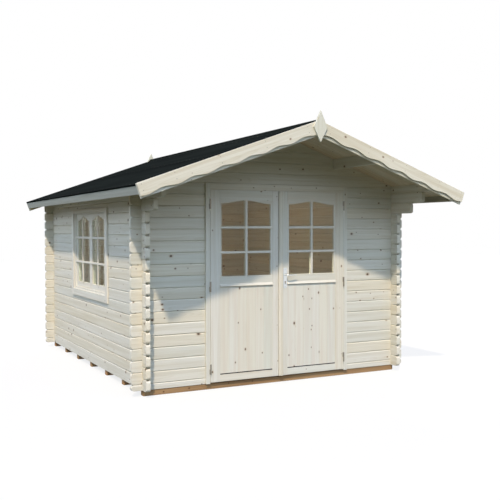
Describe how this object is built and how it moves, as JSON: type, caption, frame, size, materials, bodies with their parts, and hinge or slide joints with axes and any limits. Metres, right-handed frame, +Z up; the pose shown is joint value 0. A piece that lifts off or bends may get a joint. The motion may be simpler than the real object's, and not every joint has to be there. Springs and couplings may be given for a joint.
{
  "type": "log cabin",
  "caption": "Garden log cabin of planed interlocking logs with a felted gable roof, scalloped bargeboards, a glazed double door that opens outward and a double-sash side window.",
  "frame": {"origin": "Middle of the plan of the four walls, on the underside of the middle floor joist", "axes": "+X to the right when facing the doors from outside, +Y from the doors to the back wall, +Z up"},
  "size_m": [3.6386, 4.6116, 2.7201],
  "materials": {
    "wall_log": "planed untreated spruce, matt",
    "treated_joist": "brown pressure-treated pine, matt",
    "floor_board": "planed spruce, matt",
    "roof_board": "planed spruce, matt",
    "roof_trim": "planed untreated spruce, matt",
    "joinery": "planed untreated spruce, matt",
    "door_board": "planed untreated spruce, matt",
    "roofing_felt": "black bitumen felt with fine mineral grit",
    "window_glass": "clear",
    "hinge_iron": "dull zinc-plated",
    "satin_metal": "satin"
  },
  "bodies": {
    "cabin": {"floor_joists": "treated_joist", "floor_boards": "floor_board", "left_wall_logs": "wall_log", "right_wall_logs": "wall_log", "back_wall_logs": "wall_log", "front_wall_left_logs": "wall_log", "front_wall_right_logs": "wall_log", "front_gable_logs": "wall_log", "back_gable_logs": "wall_log", "ridge_purlin": "wall_log", "side_purlins": "wall_log", "left_roof_boards": "roof_board", "right_roof_boards": "roof_board", "left_roof_felt": "roofing_felt", "right_roof_felt": "roofing_felt", "left_eave_board": "roof_trim", "right_eave_board": "roof_trim", "left_front_bargeboard": "roof_trim", "right_front_bargeboard": "roof_trim", "left_barge_backing": "roof_trim", "right_barge_backing": "roof_trim", "left_back_bargeboard": "roof_trim", "right_back_bargeboard": "roof_trim", "front_finial": "roof_trim", "back_finial": "roof_trim", "door_jambs": "joinery", "door_head": "joinery", "door_threshold": "joinery", "left_hinge_pins": "hinge_iron", "right_hinge_pins": "hinge_iron", "window_frame": "joinery", "window_casing": "joinery", "window_sashes": "joinery", "window_panes": "window_glass"},
    "left_door": {"left_door_leaf": "joinery", "left_door_panel": "door_board", "left_door_pane": "window_glass", "left_hinge_sockets": "hinge_iron"},
    "right_door": {"right_door_leaf": "joinery", "right_door_panel": "door_board", "right_door_pane": "window_glass", "right_hinge_sockets": "hinge_iron", "door_cover_strip": "joinery", "door_lock_plate": "satin_metal"},
    "lever": {"door_lever": "satin_metal"}
  },
  "joints": [
    {"name": "left_door_hinge", "type": "hinge", "parent": "cabin", "child": "left_door", "pos_m": [-0.796, -1.8363, 1], "axis": [0, 0, -1], "range_deg": [0, 110]},
    {"name": "right_door_hinge", "type": "hinge", "parent": "cabin", "child": "right_door", "pos_m": [0.796, -1.8363, 1], "axis": [0, 0, 1], "range_deg": [0, 110]},
    {"name": "lever_turn", "type": "hinge", "parent": "right_door", "child": "lever", "pos_m": [0.0605, -1.829, 1.12], "axis": [0, 1, 0], "range_deg": [0, 40], "stiffness_Nm_per_rad": 2, "springref_deg": -17.19}
  ]
}
